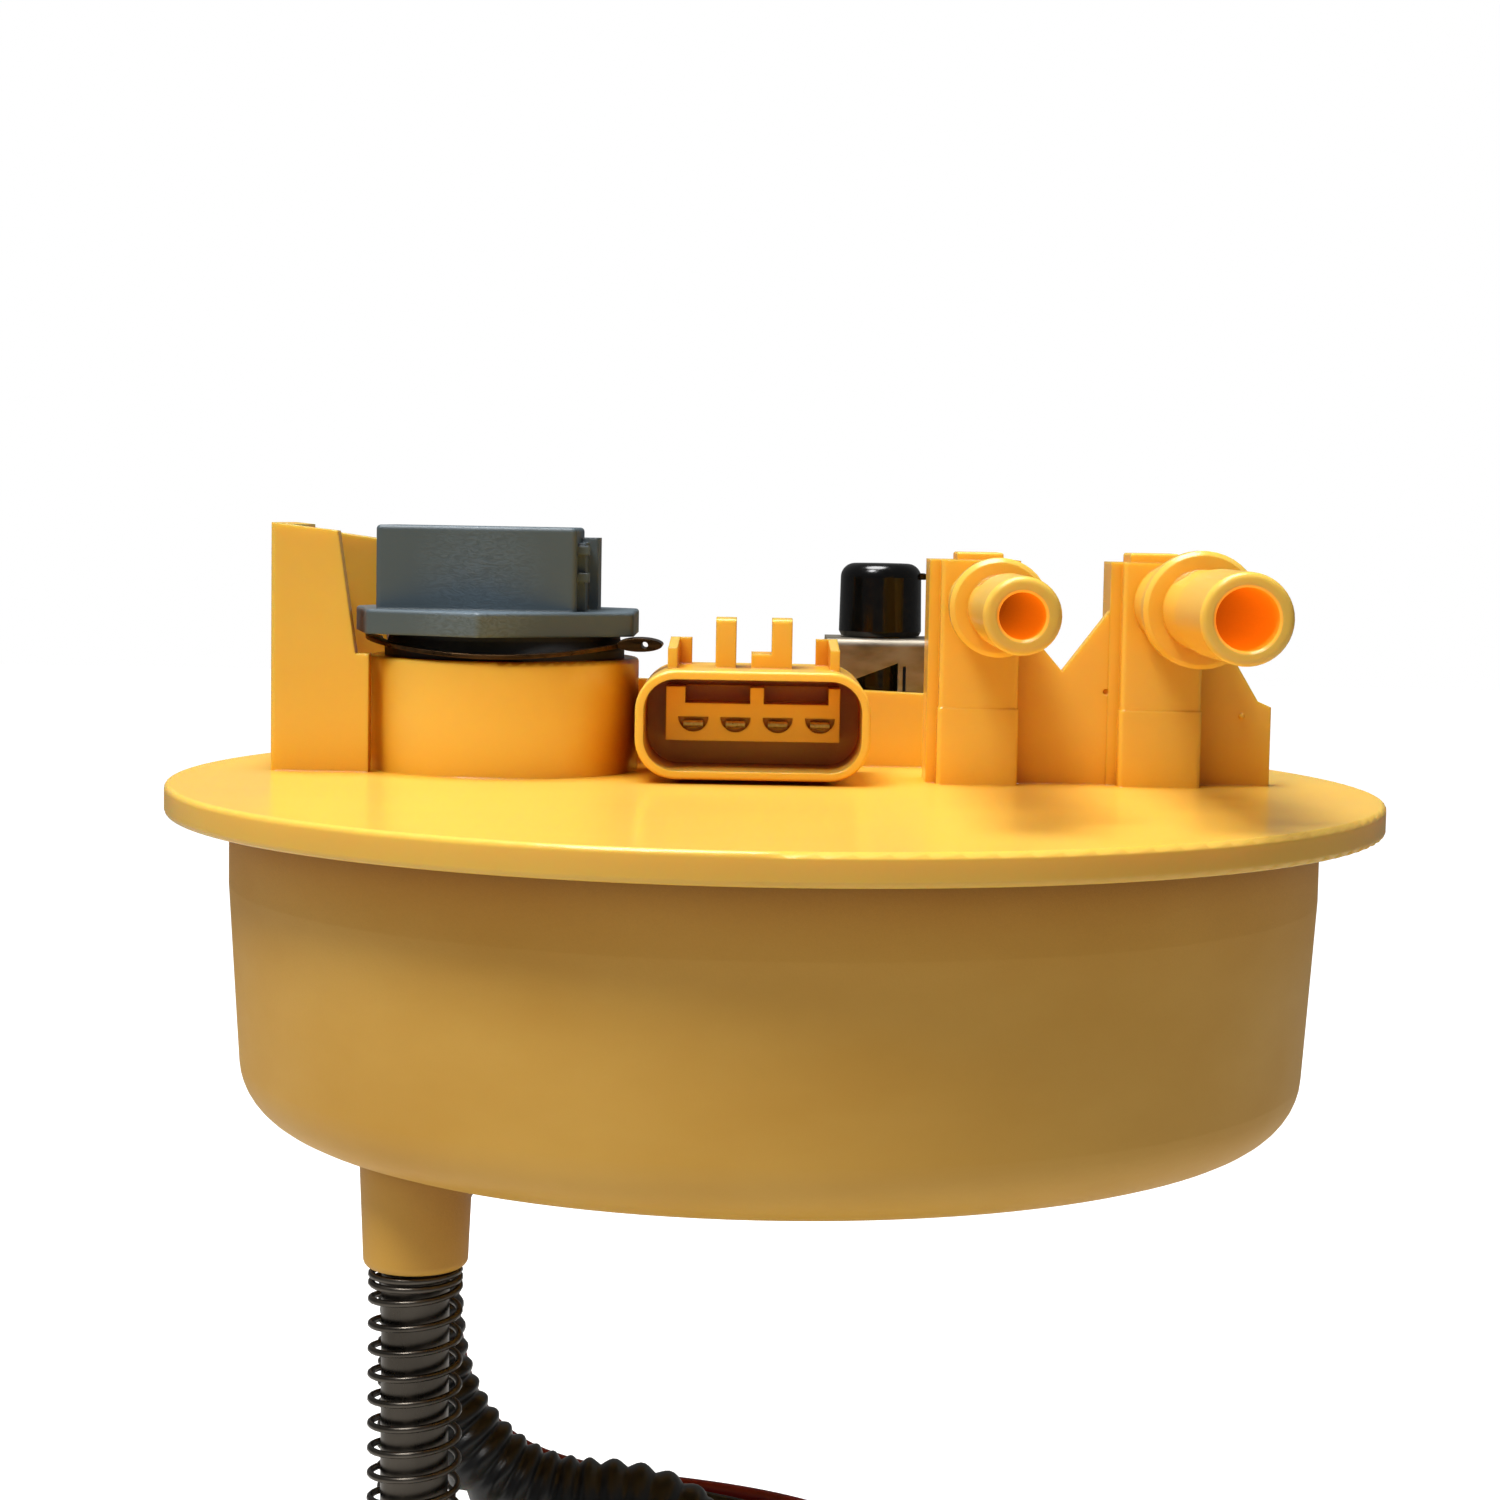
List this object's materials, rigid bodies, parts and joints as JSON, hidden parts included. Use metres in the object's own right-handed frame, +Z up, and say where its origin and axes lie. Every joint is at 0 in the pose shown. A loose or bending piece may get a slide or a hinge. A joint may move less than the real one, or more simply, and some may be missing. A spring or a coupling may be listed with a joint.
{
  "type": "in-tank fuel pump module",
  "caption": "Fuel tank pump module: round plate with nipples, connector and pressure sensor over a filter drum, and a sprung reservoir that holds the pump and level float.",
  "frame": {"origin": "centre of the rim's underside, at the top of the round spigot that fits the tank opening", "axes": "+Z up out of the tank, -Y towards the side that the hose nipples and the connector face, +X towards the large nipple"},
  "size_m": [0.1493, 0.1551, 0.2418],
  "materials": {
    "yellow_acetal": "injection-moulded acetal, semi-gloss",
    "grey_nylon": "moulded glass-filled nylon",
    "black_rubber": "moulded nitrile rubber",
    "black_vinyl": "dip-moulded vinyl, glossy",
    "bronze_spring": "dark oxidised spring strip",
    "tin_contact": "tin-plated brass",
    "zinc_steel": "stamped zinc-plated steel",
    "dark_steel": "ground steel rod and music wire",
    "shell_steel": "rolled steel, satin",
    "copper": "enamelled copper",
    "ferrite": "sintered ferrite",
    "carbon": "pressed carbon",
    "filter_paper": "pleated paper",
    "natural_acetal": "natural moulded acetal",
    "black_plastic": "moulded black plastic",
    "black_hose": "corrugated nylon tube",
    "wire_skin": "coloured wire insulation",
    "mesh_fabric": "woven nylon mesh",
    "resistor_ceramic": "thick-film ceramic card",
    "float_foam": "closed-cell nitrile foam"
  },
  "bodies": {
    "tank_flange": {"flange": "yellow_acetal", "connector_terminals": "tin_contact", "filter_drum": "yellow_acetal", "pressure_sensor": "grey_nylon", "sensor_pins": "tin_contact", "sensor_seal": "black_rubber", "sensor_spring_clip": "bronze_spring", "port_bracket": "zinc_steel", "filter_media": "filter_paper", "filter_end_caps": "natural_acetal", "pressure_regulator": "zinc_steel", "regulator_o_rings": "black_rubber", "regulator_clip": "zinc_steel", "vent_valve_housing": "natural_acetal", "vent_valve_base": "natural_acetal", "guide_rod_front": "dark_steel", "guide_rod_rear": "dark_steel", "rod_spring_front": "dark_steel", "rod_spring_rear": "dark_steel", "rod_rings": "zinc_steel", "supply_hose": "black_hose", "hose_clamp_upper": "zinc_steel", "harness_plug": "black_plastic", "power_wires": "wire_skin", "sender_wires": "wire_skin"},
    "reservoir_unit": {"reservoir": "natural_acetal", "reservoir_cover": "natural_acetal", "inlet_flap_valve": "black_rubber", "pump_shell": "shell_steel", "pump_inlet_plate": "black_plastic", "pump_end_cap": "black_plastic", "motor_magnets": "ferrite", "flux_ring": "shell_steel", "brushes": "carbon", "brush_springs": "dark_steel", "pump_pins": "tin_contact", "pump_plug": "black_plastic", "check_valve_spring": "dark_steel", "pump_sleeve": "black_rubber", "pump_cradle": "natural_acetal", "strainer_sock": "mesh_fabric", "strainer_clip": "black_plastic", "sender_housing": "natural_acetal", "resistor_card": "resistor_ceramic", "hose_clamp_lower": "zinc_steel", "sender_plug": "black_plastic"},
    "rotor": {"pump_impeller": "black_plastic", "rotor_shaft": "dark_steel", "armature_core": "shell_steel", "armature_windings": "copper", "commutator": "copper"},
    "check_poppet": {"check_valve": "black_plastic"},
    "float_lever": {"sender_hub": "natural_acetal", "sender_contact": "tin_contact", "float_arm": "dark_steel", "level_float": "float_foam"},
    "vent_float": {"vent_valve_float": "natural_acetal"},
    "dust_cap": {"port_dust_cap": "black_vinyl"}
  },
  "joints": [
    {"name": "reservoir_slide", "type": "slide", "parent": "tank_flange", "child": "reservoir_unit", "axis": [0, 0, 1], "range_m": [0, 0.04], "stiffness_N_per_m": 300, "springref_m": -0.04, "deforming": ["rod_spring_front", "rod_spring_rear", "supply_hose", "power_wires", "sender_wires"]},
    {"name": "float_lever_pivot", "type": "hinge", "parent": "reservoir_unit", "child": "float_lever", "pos_m": [0.0572, 0.012, -0.15], "axis": [-1, 0, 0], "range_deg": [0, 75]},
    {"name": "rotor_spin", "type": "hinge", "parent": "reservoir_unit", "child": "rotor", "pos_m": [0.008, -0.004, -0.15], "axis": [0, 0, 1], "continuous": true},
    {"name": "check_valve_lift", "type": "slide", "parent": "reservoir_unit", "child": "check_poppet", "axis": [0, 0, 1], "range_m": [0, 0.0015], "stiffness_N_per_m": 200, "springref_m": -0.001, "deforming": ["check_valve_spring"]},
    {"name": "vent_float_lift", "type": "slide", "parent": "tank_flange", "child": "vent_float", "axis": [0, 0, 1], "range_m": [0, 0.002]},
    {"name": "dust_cap_pull", "type": "slide", "parent": "tank_flange", "child": "dust_cap", "axis": [0, 0, 1], "range_m": [0, 0.02]}
  ]
}
